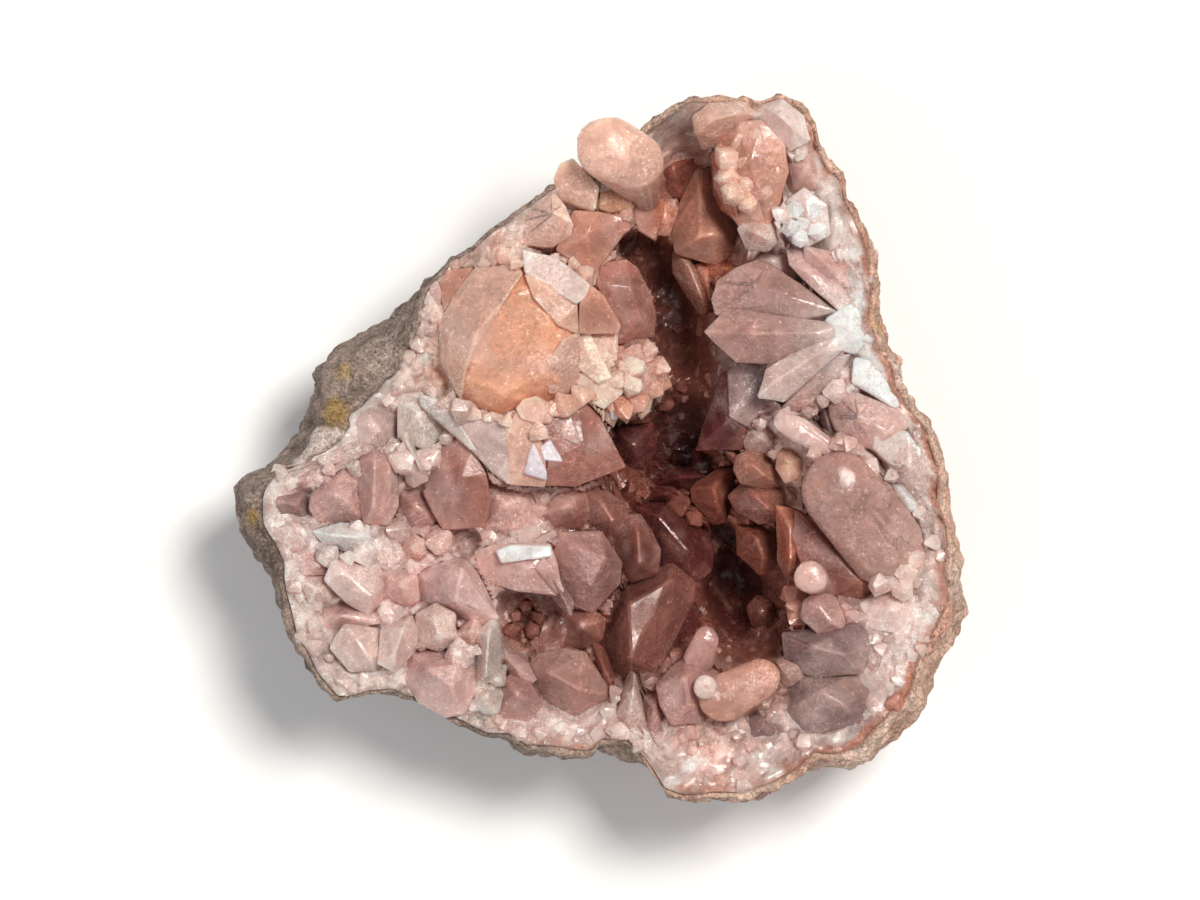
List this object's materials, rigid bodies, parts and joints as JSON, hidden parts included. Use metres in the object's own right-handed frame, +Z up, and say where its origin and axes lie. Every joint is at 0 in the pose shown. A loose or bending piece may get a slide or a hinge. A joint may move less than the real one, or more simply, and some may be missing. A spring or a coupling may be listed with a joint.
{
  "type": "amethyst geode half",
  "caption": "Broken half of a pink quartz geode: a lumpy stone rind shaped like a bowl, lined with intergrown crystals.",
  "frame": {"origin": "middle of the bounding box, on the flat foot that the rind rests on", "axes": "+Z up, out of the open hollow; +X and +Y as right and up in a view straight down into the hollow, with +X along the widest span"},
  "size_m": [0.081, 0.078, 0.0398],
  "materials": {
    "rind": "matte",
    "crystal_crust": "gloss"
  },
  "bodies": {
    "root": {"rind": "rind", "crystal_crust": "crystal_crust"}
  },
  "joints": []
}
